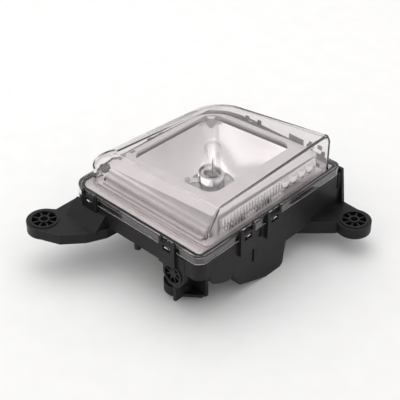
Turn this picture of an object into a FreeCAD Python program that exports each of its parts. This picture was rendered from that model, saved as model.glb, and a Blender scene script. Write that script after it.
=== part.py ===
import FreeCAD, Part
import math
import os

Vec = FreeCAD.Vector
UP = Vec(0, 0, 1)

# A vehicle headlamp, lying on its back with its lens up. Sizes are in millimetres.
# While the pieces are drawn, the origin is the middle of the lens dome's foot, on the
# top face of the lens flange, X and Y run along the dome's sides and Z points the way
# the light leaves. The finished pieces are then stood on the lowest point.

# Lens: a dome of clear plastic, on a flange with a skirt
dome_width = 144.0
dome_length = 159.0
lens_wall = 2.6
front_wall_height = 15.0
front_lean_run = 14.1
front_lean_rise = 19.3
roof_front_left = 31.5
roof_front_right = 34.5
roof_back_left = 20.5
roof_back_right = 38.7
left_round_run = 20.0
left_round_rise = 14.0
back_round = 9.0
flange_thickness = 3.0
flange_front = 13.5
flange_back = 13.5
flange_right = 4.0
flange_left = 7.0
skirt_depth = 9.0
skirt_wall = 2.4
body_radii = (9.0, 7.0, 38.0, 14.0)
dome_radii = (2.5, 2.5, 33.0, 11.0)

# Housing: one black moulding
housing_wall = 2.5
joint_gap = 0.3
seal_thickness = 1.6
shell_depth = 25.5
port_depth = 70.0
port_radius = 42.0
port_length = 20.0
side_depth = 44.5
side_inset_x = 36.0
side_inset_y = 78.0
deep_inset_x = 42.0
box_depth = 70.0
small_inset_x = 26.0

# Reflector: a paraboloid bowl in a rectangular well
bowl_x = -12.0
bowl_y = 17.0
focal_length = 24.0
bowl_bottom = -30.0
bowl_top = 26.0
well_gap_left = 10.0
well_gap_right = 32.0
well_gap_front = 39.5
well_gap_back = 11.5
well_radius = 12.0
well_draft = 5.0
reflector_wall = 2.5
tilt_gap = 6.3

# Trim round the bowl: its face slopes with the lens
trim_height = 12.5
trim_slope_x = 0.08
trim_slope_y = -0.02
trim_wall = 2.0
trim_radii = (4.0, 4.0, 28.0, 9.0)
step_heights = (9.0, 5.0, 1.0)
step_run = 3.6
step_drop = 5.5
trim_foot = -3.0
trim_foot_top = -1.2

# Bulb with a 43 mm flange, and what holds it
flange_radius = 21.5
seat_lip = 1.0
collar_wall = 3.7
glass_radius = 8.2
neck_radius = 11.0
base_radius = 13.5
seat_rise = 1.0
shield_radius = 12.7
shield_wall = 0.8
shield_turn = 43.5

# Aiming: one screw lifts the front of the reflector, two balls carry its back
screw_reach = 24.0
pivot_reach = 9.0
pivot_inset = 20.0
ball_rise = 11.0
pivot_rise = 11.5
ball_radius = 4.5
stud_radius = 3.0
shaft_radius = 6.0
running_gap = 0.06
ball_gap = 0.35
cup_wall = 2.4

# Mounting ears
ear_radius = 16.0
ear_thickness = 10.0
ear_hole_radius = 3.4
foot_radius = 13.0
boss_radius = 10.5

# Clips that hold the lens
clip_half = 9.0
clip_thickness = 2.6
clip_clearance = 0.4

# Rear boot, vent stub, and the pads under the trim's screws
boot_inset = 14.0
boot_height = 9.5
boot_bore = 19.0
vent_stub_radius = 3.8
pad_height = 3.8
screw_radius = 1.5
screw_head_radius = 3.6

# Small signal lamp at the right
signal_hole = 9.0
signal_inset_x = 22.0
signal_inset_y = 23.0

# Worked out from the sizes above
body_left = -dome_width / 2 - flange_left
body_right = dome_width / 2 + flange_right
body_front = -dome_length / 2 - flange_front
body_back = dome_length / 2 + flange_back
ledge = -skirt_depth - joint_gap
rim_top = -flange_thickness - seal_thickness
rim_inset = skirt_wall + joint_gap
deep_floor = -shell_depth + housing_wall
side_left = body_right - side_inset_x
side_front = body_back - side_inset_y
deep_left = body_right - deep_inset_x
deep_front = body_front + 42.0
deep_back = side_front + 5.0
small_left = body_right - small_inset_x
cone_depth = port_depth - port_length
well_left = -dome_width / 2 + well_gap_left
well_right = dome_width / 2 - well_gap_right
well_front = -dome_length / 2 + well_gap_front
well_back = dome_length / 2 - well_gap_back
trim_left = well_left - 5.0
trim_right = well_right + 22.0
trim_front = well_front - 22.0
trim_back = well_back + 5.0
opening_radius = flange_radius - seat_lip
collar_radius = flange_radius + joint_gap + collar_wall
seat_height = bowl_bottom + seat_rise
leg_reach = opening_radius + 4.7
leg_height = bowl_bottom + leg_reach * leg_reach / (4 * focal_length) + 0.1
screw_x = bowl_x
screw_y = well_front - screw_reach
pivot_y = well_back + pivot_reach
rivet_radius = 1.5
rivet_place = -leg_reach + 2.1
pivot_places = (well_left + pivot_inset, well_right - pivot_inset)
left_ear = (body_left - 3.0, body_front - 31.5, -shell_depth + 0.5)
right_ear = (body_right + 27.0, body_back - 12.0, -side_depth + 2.5)
foot_ear = (body_right - 41.0, body_front + 17.0, -shell_depth - 28.5)
boss_x = body_right - 30.5
boss_z = -shell_depth - 6.5
boot_ledge = -port_depth + boot_inset
ball_height = -shell_depth + ball_rise
pivot_height = -shell_depth + pivot_rise
sleeve_end = -shell_depth - 8.5
stud_seat = -shell_depth + 2.0
vent_x = body_left + 9.5
vent_y = body_front + 38.0
signal_x = body_right - signal_inset_x
signal_y = body_back - signal_inset_y

# The clips: side turn in degrees and place along the side
clips = ((0, body_left + 25.0), (0, body_right - 35.0), (90, body_front + 56.0), (90, body_front + 90.0),
         (180, body_right - 31.0), (180, body_left + 49.0), (270, body_front + 43.0), (270, body_back - 83.0))

# Where the trim's screws go: x, y and the outside height of the floor there
screw_posts = ((trim_left + 6.0, trim_front + 6.0, -shell_depth),
               (trim_right - 16.5, trim_front + 5.0, -shell_depth),
               (trim_right - 5.0, side_front + 15.0, -side_depth),
               (trim_left + 10.8, trim_back - 10.8, -shell_depth))

# The rear cone widens towards the left side, but stays clear of the back left screw's head
back_post_reach = math.hypot(bowl_x - screw_posts[3][0], screw_posts[3][1] - bowl_y)
cone_radius = min(bowl_x - body_left - 8.0, back_post_reach - screw_head_radius - 0.6)


def rounded_face(x0, x1, y0, y1, radii, z):
    """A rectangle with its own radius at each corner: front right, back right, back left, front left."""
    corners = ((x1, y0), (x1, y1), (x0, y1), (x0, y0))
    turns = (((1, 0), (0, 1)), ((0, 1), (-1, 0)), ((-1, 0), (0, -1)), ((0, -1), (1, 0)))
    points = []
    for (x, y), (come, leave), radius in zip(corners, turns, radii):
        start = Vec(x - come[0] * radius, y - come[1] * radius, z)
        end = Vec(x + leave[0] * radius, y + leave[1] * radius, z)
        centre = Vec(start.x + leave[0] * radius, start.y + leave[1] * radius, z)
        out = Vec(come[0] - leave[0], come[1] - leave[1], 0).normalize()
        points.append((start, centre + out * radius, end))
    edges = []
    for i, (start, middle, end) in enumerate(points):
        edges.append(Part.Arc(start, middle, end).toShape())
        edges.append(Part.makeLine(end, points[(i + 1) % 4][0]))
    return Part.Face(Part.Wire(edges))


def prism(x0, x1, y0, y1, radii, z0, z1):
    return rounded_face(x0, x1, y0, y1, radii, z0).extrude(UP * (z1 - z0))


def body_prism(inset, z0, z1):
    """The lamp's outline seen along the light, moved inwards by inset."""
    radii = [max(radius - inset, 1.0) for radius in body_radii]
    return prism(body_left + inset, body_right - inset, body_front + inset, body_back - inset, radii, z0, z1)


def box(x0, x1, y0, y1, z0, z1):
    return Part.makeBox(x1 - x0, y1 - y0, z1 - z0, Vec(x0, y0, z0))


def rod(radius, x, y, z0, z1):
    return Part.makeCylinder(radius, z1 - z0, Vec(x, y, z0), UP)


def tube(inner, outer, x, y, z0, z1):
    return rod(outer, x, y, z0, z1).cut(rod(inner, x, y, z0 - 1, z1 + 1))


def join(shapes):
    return shapes[0].multiFuse(list(shapes[1:])).removeSplitter()


def plate(points, z0, z1):
    """A flat plate from its outline in X and Y."""
    corners = [Vec(x, y, z0) for x, y in points]
    return Part.Face(Part.makePolygon(corners + corners[:1])).extrude(UP * (z1 - z0))


def bar_along_x(points, x0, x1):
    """A straight bar along X from its section in Y and Z."""
    corners = [Vec(x0, y, z) for y, z in points]
    return Part.Face(Part.makePolygon(corners + corners[:1])).extrude(Vec(x1 - x0, 0, 0))


def bar_along_y(points, y0, y1):
    """A straight bar along Y from its section in X and Z."""
    corners = [Vec(x, y0, z) for x, z in points]
    return Part.Face(Part.makePolygon(corners + corners[:1])).extrude(Vec(0, y1 - y0, 0))


def hexahedron(height_low, height_high, reach):
    """A block with upright sides between two surfaces given as height functions, both flat."""
    corners = ((-reach, -reach), (reach, -reach), (reach, reach), (-reach, reach))
    low = [Vec(x, y, height_low(x, y)) for x, y in corners]
    high = [Vec(x, y, height_high(x, y)) for x, y in corners]
    loops = [low, high]
    for i in range(4):
        j = (i + 1) % 4
        loops.append([low[i], low[j], high[j], high[i]])
    faces = [Part.Face(Part.makePolygon(loop + loop[:1])) for loop in loops]
    return Part.makeSolid(Part.makeShell(faces))


def turned(shape, x, y, degrees):
    """Turn a copy about the upright axis at the origin, then move it to x, y."""
    copy = shape.copy()
    copy.rotate(Vec(0, 0, 0), UP, degrees)
    copy.translate(Vec(x, y, 0))
    return copy


def on_side(shape, side, place):
    """Put a shape drawn on the front wall, facing -Y, on one of the four side walls."""
    spots = {0: (place, body_front), 90: (body_right, place),
             180: (place, body_back), 270: (body_left, place)}
    x, y = spots[side]
    return turned(shape, x, y, side)


# ---------------------------------------------------------------- lens

def roof_height(x, y):
    """Height of the lens roof: straight between its four corner heights."""
    corner_x = -dome_width / 2 + 22.0
    corner_y = -dome_length / 2 + 14.5
    across = (x - corner_x) / (dome_width / 2 - corner_x)
    along = (y - corner_y) / (dome_length - 22.0)
    front = roof_front_left + (roof_front_right - roof_front_left) * across
    back = roof_back_left + (roof_back_right - roof_back_left) * across
    return front + (back - front) * along


def arc_drop(distance, radius):
    """How far a round corner falls back at a distance inside its end."""
    if distance >= radius:
        return 0.0
    return radius - math.sqrt(radius * radius - (radius - distance) ** 2)


def dome_section(x, inset, foot):
    """The dome cut across at x: front wall, leaning front, roof, rounded back edge, back wall."""
    inside = x - (-dome_width / 2 + inset)
    front = -dome_length / 2 + inset + arc_drop(inside, dome_radii[3] - inset)
    back = dome_length / 2 - inset - arc_drop(inside, dome_radii[2] - inset)
    fall = left_round_rise * arc_drop(inside, left_round_run) / left_round_run
    crease = front_wall_height - 0.35 * inset - 0.3 * fall
    eaves_y = front + front_lean_run
    eaves_z = roof_height(x, eaves_y) - inset - fall
    roof_back = roof_height(x, back) - inset - fall
    round_size = min(back_round - 0.5 * inset, 0.6 * roof_back)
    points = [(front, foot), (front, crease), (eaves_y, eaves_z)]
    for i in range(5):
        angle = math.radians(22.5 * i)
        y = back - round_size * (1 - math.sin(angle))
        z = roof_back - round_size * (1 - math.cos(angle))
        points.append((y, z))
    points.append((back, foot))
    corners = [Vec(x, y, z) for y, z in points]
    return Part.makePolygon(corners + corners[:1])


def dome(inset, foot):
    """The volume inside the dome, inset by a wall, from height foot upwards."""
    left = -dome_width / 2 + inset
    right = dome_width / 2 - inset
    sweep = dome_radii[2] - inset
    stations = [left + sweep * (1 - math.cos(math.radians(15.0 * i))) for i in range(7)]
    stations += [(stations[-1] + right) / 2, right]
    return Part.makeLoft([dome_section(x, inset, foot) for x in stations], True, True)


def lens():
    """Dome, flange, skirt and the teeth that the clips hold."""
    flange = body_prism(0, -flange_thickness, 0)
    skirt = body_prism(0, -skirt_depth, -flange_thickness).cut(body_prism(skirt_wall, -skirt_depth - 1, 0))
    tooth = box(-3.8, 3.8, -clip_thickness, 0.5, -skirt_depth + 0.6, -skirt_depth + 3.8)
    teeth = [on_side(tooth, side, place) for side, place in clips]
    outside = join([dome(0, -flange_thickness), flange, skirt] + teeth)
    return outside.cut(dome(lens_wall, -flange_thickness - 1))


def lens_seal():
    """The bead of sealant between the housing's rim and the lens flange."""
    bead = body_prism(rim_inset, rim_top, -flange_thickness)
    return bead.cut(body_prism(rim_inset + housing_wall, rim_top - 1, 0))


# ---------------------------------------------------------------- housing

def spoked_pocket(inner, outer, depth):
    """The eight pockets between the spokes of a ring, drawn with their mouth at z = 0."""
    ring = tube(inner, outer, 0, 0, -depth, 1.0)
    spokes = []
    for i in range(4):
        spoke = box(-outer, outer, -0.7, 0.7, -depth - 1, 2.0)
        spoke.rotate(Vec(0, 0, 0), UP, 45.0 * i + 22.5)
        spokes.append(spoke)
    return ring.cut(join(spokes))


def ear_lobe(place, radius):
    x, y, z = place
    lobe = rod(radius, x, y, z - ear_thickness, z)
    rim = tube(radius - 5.0, radius - 3.0, x, y, z - 1.0, z + 1.0)
    eye = tube(ear_hole_radius, ear_hole_radius + 1.6, x, y, z - 1.0, z + 1.0)
    return join([lobe, rim, eye])


def ear_cuts(place, radius):
    x, y, z = place
    pockets = spoked_pocket(ear_hole_radius + 1.6, radius - 5.0, 6.0)
    pockets.translate(Vec(x, y, z))
    return [pockets, rod(ear_hole_radius, x, y, z - ear_thickness - 1, z + 3)]


def left_arm():
    """The broad plate from the front wall out to the left ear, with a ramp on top."""
    x, y, z = left_ear
    outline = [(x - 4, body_front + 12), (x - 4, y + 17), (x - 9, y + 13), (x + 9, y - 13.2),
               (x + 27, y - 6), (x + 42, y + 11), (x + 50, y + 28), (x + 51, body_front + 12)]
    arm = plate(outline, z - ear_thickness, z)
    root = body_front + 1.0
    section = [(root, z - 1), (root, z + 12), (root - 3, z + 11), (root - 15, z), (root - 15, z - 1)]
    ramp = bar_along_x(section, x + 8, x + 47)
    return join([arm, ramp, ear_lobe(left_ear, ear_radius)])


def right_arm():
    """The plate from the right wall to the right ear; its back edge is tangent to the ear."""
    x, y, z = right_ear
    low = z - ear_thickness - 3.0
    outline = [(body_right - 4, y + 16), (body_right - 4, y - 20), (body_right - 16, y - 30),
               (body_right - 16, y - 45), (body_right - 0.5, y - 31), (x - 9, y - 13.2), (x - 6, y),
               (x - 6, y + 14.8)]
    arm = plate(outline, low, z)
    return join([arm, ear_lobe(right_ear, ear_radius)])


def front_bracket():
    """The upright bracket with its spoked boss, and the ribbed leg down to the third ear."""
    x, z = boss_x, boss_z
    high = ledge - 1.7
    section = [(x - 15, high), (x + 13, high), (x + 13, z - 3), (x + 6, z - 13), (x - 5, z - 13),
               (x - 9, z - 6), (x - 14, z + 12)]
    wall = bar_along_y(section, body_front - 0.5, body_front + 4)
    ring = tube(boss_radius - 2, boss_radius, 0, 0, 0, 2.5)
    ring.rotate(Vec(0, 0, 0), Vec(1, 0, 0), 90)
    ring.translate(Vec(x, body_front + 1, z))
    fx, fy, fz = foot_ear
    low = fz - ear_thickness + 1
    rib = box(x - 1.5, x + 1.5, body_front + 1, fy + 10, low, -shell_depth + 2)
    web = box(fx - 9, x + 16, fy + 6, fy + 9, low, -shell_depth + 2)
    outline = [(fx - 12, fy), (fx + 5, fy - 12.5), (x + 14, fy + 2), (x + 16, fy + 9), (fx - 9, fy + 9)]
    floor = plate(outline, low, low + 3)
    foot = ear_lobe(foot_ear, foot_radius)
    return join([wall, ring, rib, web, floor, foot])


def boss_pocket():
    pocket = spoked_pocket(3.4, boss_radius - 2, 3.2)
    pocket.rotate(Vec(0, 0, 0), Vec(1, 0, 0), 90)
    pocket.translate(Vec(boss_x, body_front + 0.2, boss_z))
    return pocket


def clip():
    """One lens clip on the front wall: a plate with a window and two horns, on a root block."""
    outer = -clip_clearance - clip_thickness
    foot = -shell_depth + 1.5
    leaf = box(-clip_half, clip_half, outer, -clip_clearance, foot, -2.0)
    horns = []
    for start in (-clip_half, clip_half - 3.0):
        horns.append(box(start, start + 3.0, outer, -clip_clearance, -3.0, 2.2))
    root = box(-clip_half, clip_half, -1.5, 1.0, foot, ledge - 3.7)
    window = box(-4.6, 4.6, outer - 1.0, 0.0, -skirt_depth - 0.3, -skirt_depth + 4.8)
    return join([leaf, root] + horns).cut(window)


def shell_outside():
    """The shallow shell, the cone behind the bowl, the rear port and the deep parts at the right."""
    tub = body_prism(0, -shell_depth, ledge)
    rim = body_prism(rim_inset, ledge, rim_top)
    cone = Part.makeCone(port_radius, cone_radius, cone_depth - shell_depth + 1,
                         Vec(bowl_x, bowl_y, -cone_depth), UP)
    port = rod(port_radius, bowl_x, bowl_y, -port_depth, -cone_depth + 1)
    side = box(side_left, body_right, side_front, body_back - 0.5, -side_depth, -shell_depth + 1)
    post_left = body_right - 12
    corner = box(post_left, body_right, body_back - 3, body_back + 3.5, right_ear[2] - ear_thickness, ledge)
    section = [(post_left, -6), (body_right, -6), (body_right + 4, right_ear[2]), (post_left, right_ear[2])]
    post = bar_along_y(section, body_back + 0.4, body_back + 3.5)
    deep = bar_along_x(deep_outline(0), deep_left, body_right)
    small = bar_along_x(small_outline(0), small_left, body_right)
    return join([tub, rim, cone, port, side, corner, post, deep, small])


def deep_outline(inset):
    """Section of the deep box in Y and Z, with its sloping bottom and leaning ends."""
    top = -shell_depth + 3.0 + inset * 3
    front = deep_front + inset
    back = deep_back - inset
    low = -box_depth + inset
    return [(front + 1, top), (front, 28 - box_depth), (front + 8.4, low + 12), (deep_back - 28, low),
            (back - 9, low), (back - 6, low + 3), (back - 1, 34 - box_depth), (back, top)]


def small_outline(inset):
    """Section of the small box in front of the deep one."""
    top = -shell_depth + 3.0 + inset * 3
    front = body_front + 12.0 + inset
    back = deep_front + 2.0 - inset
    low = -shell_depth - 18.5 + inset
    return [(front, top), (front + 4.5, low + 8), (front + 14 - inset, low + 3),
            (back - 8 + 0.7 * inset, low), (back - 3, low + 2.5), (back, top)]


def shell_inside():
    """The hollow of the shell, one wall inside the outside."""
    wall = housing_wall
    upper = body_prism(rim_inset + wall, ledge - 4, 5)
    lower = body_prism(wall, deep_floor, ledge - 3.9)
    cone = Part.makeCone(port_radius - wall, cone_radius - wall, cone_depth - shell_depth + 3,
                         Vec(bowl_x, bowl_y, -cone_depth), UP)
    port = rod(port_radius - wall, bowl_x, bowl_y, -port_depth - 1, -cone_depth + 1)
    side = box(side_left + wall, body_right - wall, side_front + wall, body_back - wall - 0.5,
               -side_depth + wall, deep_floor + 1)
    deep = bar_along_x(deep_outline(wall), deep_left + wall, body_right - wall)
    small = bar_along_x(small_outline(wall), small_left + wall, body_right - wall)
    return join([upper, lower, cone, port, side, deep, small])


def housing():
    """The black back of the lamp, with everything moulded onto it."""
    shell = shell_outside().cut(shell_inside())
    added = [shell, left_arm(), right_arm(), front_bracket()]
    added += [on_side(clip(), side, place) for side, place in clips]
    added += [rod(4.5, x, y, floor, floor + pad_height) for x, y, floor in screw_posts]
    added.append(tube(port_radius - 6.0, port_radius - 1.0, bowl_x, bowl_y, boot_ledge, boot_ledge + 2.0))
    added.append(rod(shaft_radius + 3.0, screw_x, screw_y, sleeve_end, deep_floor + 0.5))
    added += [rod(stud_radius + 2.0, x, pivot_y, -shell_depth, pivot_height - ball_radius) for x in pivot_places]
    added.append(rod(vent_stub_radius, vent_x, vent_y, -shell_depth - 7.0, -shell_depth + 1.0))
    added.append(rod(3.0, body_left + 78.0, body_front + 4.0, -shell_depth - 7.5, -shell_depth + 1.0))
    body = join(added)
    cuts = ear_cuts(left_ear, ear_radius) + ear_cuts(right_ear, ear_radius) + ear_cuts(foot_ear, foot_radius)
    cuts.append(boss_pocket())
    cuts += [rod(screw_radius + 0.3, x, y, floor - 1, floor + 10) for x, y, floor in screw_posts]
    cuts.append(rod(shaft_radius + running_gap, screw_x, screw_y, sleeve_end - 6, 0))
    cuts += [rod(stud_radius, x, pivot_y, stud_seat, 0) for x in pivot_places]
    cuts.append(rod(vent_stub_radius - 1.8, vent_x, vent_y, -shell_depth - 8.0, 0))
    low = -side_depth - 1
    high = -side_depth + housing_wall + 1.5
    slot_reach = signal_hole + 2.2
    cuts.append(rod(signal_hole, signal_x, signal_y, low, high))
    cuts.append(box(signal_x - 2.2, signal_x + 2.2, signal_y - slot_reach, signal_y + slot_reach, low, high))
    slit = body_front + 65.0
    cuts.append(box(body_right - 1.4, body_right + 1, slit, slit + 2.6, -42.0, -shell_depth + 1.5))
    cuts.append(box(body_right - 1.4, body_right + 1, slit + 8, slit + 11.5, -shell_depth + 6.5, ledge - 0.5))
    return body.cut(Part.makeCompound(cuts)).removeSplitter()


# ---------------------------------------------------------------- reflector

def trim_face(x, y):
    """Height of the trim's sloping face."""
    return trim_height + trim_slope_x * x + trim_slope_y * y


def paraboloid(bottom, top):
    """The solid inside a paraboloid of the bowl's focal length."""
    points = []
    steps = 12
    rise = top - bottom
    for i in range(steps + 1):
        radius = math.sqrt(4 * focal_length * rise) * i / steps
        points.append(Vec(bowl_x + radius, bowl_y, bottom + radius * radius / (4 * focal_length)))
    curve = Part.BSplineCurve()
    curve.interpolate(points)
    axis_top = Vec(bowl_x, bowl_y, top)
    edges = [curve.toShape(), Part.makeLine(points[-1], axis_top), Part.makeLine(axis_top, points[0])]
    return Part.Face(Part.Wire(edges)).revolve(Vec(bowl_x, bowl_y, 0), UP, 360)


def well(grow, bottom, top):
    """The tapered rectangular well that clips the paraboloid."""
    wires = []
    for z in (bottom, top):
        draft = well_draft * (20.0 - z) / 50.0 - grow
        face = rounded_face(well_left + draft, well_right - draft, well_front + draft, well_back - draft,
                            (well_radius + grow,) * 4, z)
        wires.append(face.OuterWire)
    return Part.makeLoft(wires, True, True)


def ring_lugs(inner, outer, low, high, half_width):
    """Three pegs evenly round the bulb axis."""
    pegs = []
    for i in range(3):
        peg = box(inner, outer, -half_width, half_width, low, high)
        peg.rotate(Vec(0, 0, 0), UP, 120.0 * i)
        peg.translate(Vec(bowl_x, bowl_y, 0))
        pegs.append(peg)
    return pegs


def reflector():
    """Bowl with its well, rear collar, bayonet pegs and the arms to the three balls."""
    shell_bottom = bowl_bottom - reflector_wall - 0.5
    outside = paraboloid(shell_bottom, bowl_top).common(well(reflector_wall, shell_bottom, bowl_top))
    high = socket_top(ball_height)
    arms = [box(screw_x - 8, screw_x + 8, screw_y - 6.5, bowl_y - collar_radius, high, high + 2.5)]
    for x in pivot_places:
        high = socket_top(pivot_height)
        arms.append(box(x - 8, x + 8, bowl_y + collar_radius / 2, pivot_y + 7, high, high + 2.5))
    collar = rod(collar_radius, bowl_x, bowl_y, seat_height - 5.0, seat_height + 6.0)
    pegs = ring_lugs(collar_radius - 1.0, collar_radius + 1.7, seat_height - 4.0, seat_height - 2.0, 2.5)
    body = join([outside, collar] + arms + pegs)
    hollow = paraboloid(bowl_bottom, bowl_top + 1).common(well(0, bowl_bottom, bowl_top + 1))
    opening = rod(opening_radius, bowl_x, bowl_y, seat_height - 1, seat_height + 20)
    recess = rod(flange_radius + joint_gap, bowl_x, bowl_y, seat_height - 6, seat_height)
    above_rim = hexahedron(lambda x, y: trim_face(x, y) - tilt_gap, lambda x, y: 90.0, 200.0)
    return body.cut(hollow).cut(opening).cut(recess).cut(above_rim)


def socket_top(height):
    return height + ball_radius + 2.0


def ball_socket(x, y, height):
    """A cup, open below, that holds a ball."""
    cup = rod(ball_radius + cup_wall, x, y, height - 3.0, socket_top(height))
    hollow = Part.makeSphere(ball_radius + ball_gap, Vec(x, y, height))
    throat = rod(ball_radius - 0.2, x, y, height - 4.0, height)
    return cup.cut(hollow).cut(throat)


def ball_stud(x, y, height, foot):
    """A ball on a straight stem that reaches down to foot."""
    ball = Part.makeSphere(ball_radius, Vec(x, y, height))
    return join([ball, rod(stud_radius, x, y, foot, height)])


def glare_shield():
    """A half tube that stands beside the bulb and hides its filament, on a riveted leg."""
    low = seat_height + 6.0
    high = seat_height + 16.0
    cup = tube(shield_radius, shield_radius + shield_wall, bowl_x, bowl_y, low, high)
    keep = turned(box(-20, 0, -20, 20, low - 1, high + 1), bowl_x, bowl_y, shield_turn)
    leg = box(-leg_reach, -shield_radius - 0.2, -3.5, 3.5, leg_height, leg_height + shield_wall)
    leg = leg.cut(rod(rivet_radius, rivet_place, 0, leg_height - 1, leg_height + shield_wall + 1))
    return join([cup.common(keep), turned(leg, bowl_x, bowl_y, shield_turn)])


def shield_rivet():
    """The rivet through the shield's leg and the bowl."""
    shank = rod(rivet_radius, rivet_place, 0, leg_height - 5.5, leg_height + shield_wall)
    head = rod(2.8, rivet_place, 0, leg_height + shield_wall, leg_height + shield_wall + 1.0)
    return turned(join([shank, head]), bowl_x, bowl_y, shield_turn)


# ---------------------------------------------------------------- trim

def trim():
    """The bright frame round the bowl: sloping face, outer walls, front steps and foot flange."""
    block = prism(trim_left, trim_right, trim_front, trim_back, trim_radii, trim_foot, 60.0)
    face_slab = hexahedron(lambda x, y: trim_face(x, y) - trim_wall, trim_face, 200.0)
    face = block.common(face_slab)
    under = hexahedron(lambda x, y: -100.0, lambda x, y: trim_face(x, y) - trim_wall + 0.1, 200.0)
    inner = prism(trim_left + trim_wall, trim_right - trim_wall,
                  trim_front + trim_wall, trim_back - trim_wall,
                  [radius - trim_wall for radius in trim_radii], trim_foot - 1, 61.0)
    walls = block.cut(inner).common(under)
    steps = []
    for i, height in enumerate(step_heights):
        back = trim_front - step_run * i + 2.0
        front = trim_front - step_run * (i + 1)
        section = [(back, height - trim_wall), (back, height), (front, height), (front, height - step_drop),
                   (front + 1.4, height - step_drop), (front + 1.4, height - trim_wall)]
        steps.append(bar_along_x(section, trim_left + 8, trim_right - 3))
    flange = prism(-dome_width / 2 + 4, dome_width / 2 - 5, -dome_length / 2 + 4, dome_length / 2 - 4,
                   (3.0, 3.0, 30.0, 9.0), trim_foot, trim_foot_top)
    flange = flange.cut(prism(trim_left + trim_wall, trim_right - trim_wall,
                              trim_front - 8.0, trim_back - trim_wall,
                              (2.0, 2.0, 26.0, 7.0), trim_foot - 1, 0))
    body = join([face, walls, flange] + steps)
    notch = box(screw_x - 10.5, screw_x + 10.5, screw_y - 8.5, screw_y + 8, trim_foot - 1, 0.2)
    body = body.cut(well(0, -10.0, 60.0)).cut(notch)
    bosses = [rod(4.0, x, y, floor + pad_height, trim_face(x, y) - 1) for x, y, floor in screw_posts]
    holes = [rod(screw_radius + 0.1, x, y, floor, floor + 18) for x, y, floor in screw_posts]
    return join([body] + bosses).cut(Part.makeCompound(holes))


def side_reflector():
    """The fluted plate that stands behind the clear right wall of the lens."""
    x = trim_right + 1.0
    front = trim_front + 4.0
    back = trim_back - 7.0
    pitch = 3.8
    pillow_pitch = 11.0
    pillow_front = back - 40.0
    plate_body = box(x, x + 1.6, front, back, trim_foot_top, 15.0)
    flutes = []
    for i in range(int((pillow_front - 5.0 - front) / pitch)):
        flutes.append(rod(1.5, x + 1.2, front + 2.0 + pitch * i, trim_foot_top, 15.0))
    pillows = []
    for i in range(4):
        y = pillow_front + pillow_pitch * i
        pillow = Part.makeSphere(14.0, Vec(x - 11.6, y, 7.0))
        pillows.append(pillow.common(box(x + 0.5, x + 6, y - 5, y + 5, 1.0, 13.0)))
    return join([plate_body] + flutes + pillows)


def screws():
    """The four screws that hold the trim, put in from behind."""
    solids = []
    for x, y, floor in screw_posts:
        head = rod(screw_head_radius, x, y, floor - 2.2, floor)
        slot = [box(x - 2.2, x + 2.2, y - 0.5, y + 0.5, floor - 3, floor - 1)]
        slot.append(box(x - 0.5, x + 0.5, y - 2.2, y + 2.2, floor - 3, floor - 1))
        solids.append(join([head, rod(screw_radius, x, y, floor - 0.5, floor + 14.0)]).cut(join(slot)))
    return Part.makeCompound(solids)


# ---------------------------------------------------------------- bulb

def bulb_glass():
    """The bulb's envelope: a thin tube with a domed tip and a flat foot."""
    foot = seat_height + 10.0
    tip = foot + 38.0
    solids = []
    for wall in (0.0, 1.0):
        radius = glass_radius - wall
        body = rod(radius, bowl_x, bowl_y, foot + wall, tip - glass_radius)
        dome_end = Part.makeSphere(radius, Vec(bowl_x, bowl_y, tip - glass_radius))
        solids.append(join([body, dome_end]))
    return solids[0].cut(solids[1])


def bulb_filament():
    """Two coils on their support wires, inside the glass."""
    parts = [rod(4.0, bowl_x, bowl_y, seat_height + 11.0, seat_height + 14.0)]
    for dx, height in ((-3.0, 18.0), (3.0, 24.0), (0.0, 31.0)):
        parts.append(rod(0.5, bowl_x + dx, bowl_y, seat_height + 12.0, seat_height + height))
    for dx0, dx1, height in ((-3.2, 0.4, 17.5), (-0.4, 3.2, 23.5)):
        start = Vec(bowl_x + dx0, bowl_y, seat_height + height)
        coil = Part.makeCylinder(0.9, dx1 - dx0, start, Vec(1, 0, 0))
        parts.append(coil)
    return join(parts)


def bulb_flange():
    """The metal flange with its neck that grips the glass."""
    disc = rod(flange_radius, bowl_x, bowl_y, seat_height - 1.2, seat_height)
    neck = rod(neck_radius, bowl_x, bowl_y, seat_height - 0.5, seat_height + 14.0)
    bore = rod(glass_radius + 0.05, bowl_x, bowl_y, seat_height + 9.5, seat_height + 15.0)
    hollow = rod(neck_radius - 1.5, bowl_x, bowl_y, seat_height - 2.0, seat_height + 8.0)
    return join([disc, neck]).cut(bore).cut(hollow)


def bulb_base():
    """The insulating base behind the flange, with the blades' slots."""
    base = rod(base_radius, bowl_x, bowl_y, seat_height - 16.0, seat_height - 1.2)
    plug = rod(neck_radius - 1.6, bowl_x, bowl_y, seat_height - 1.3, seat_height + 6.0)
    return join([base, plug])


def bulb_blades():
    """Three flat contact blades, two side by side and one across."""
    low = seat_height - 28.0
    high = seat_height - 16.0
    blades = [box(-0.4, 0.4, -4.0, 4.0, low, high), box(-0.4, 0.4, -4.0, 4.0, low, high),
              box(-4.0, 4.0, -0.4, 0.4, low, high)]
    for blade, (dx, dy) in zip(blades, ((-8.0, -2.0), (8.0, -2.0), (0.0, 7.0))):
        blade.translate(Vec(bowl_x + dx, bowl_y + dy, 0))
    return Part.makeCompound(blades)


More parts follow.
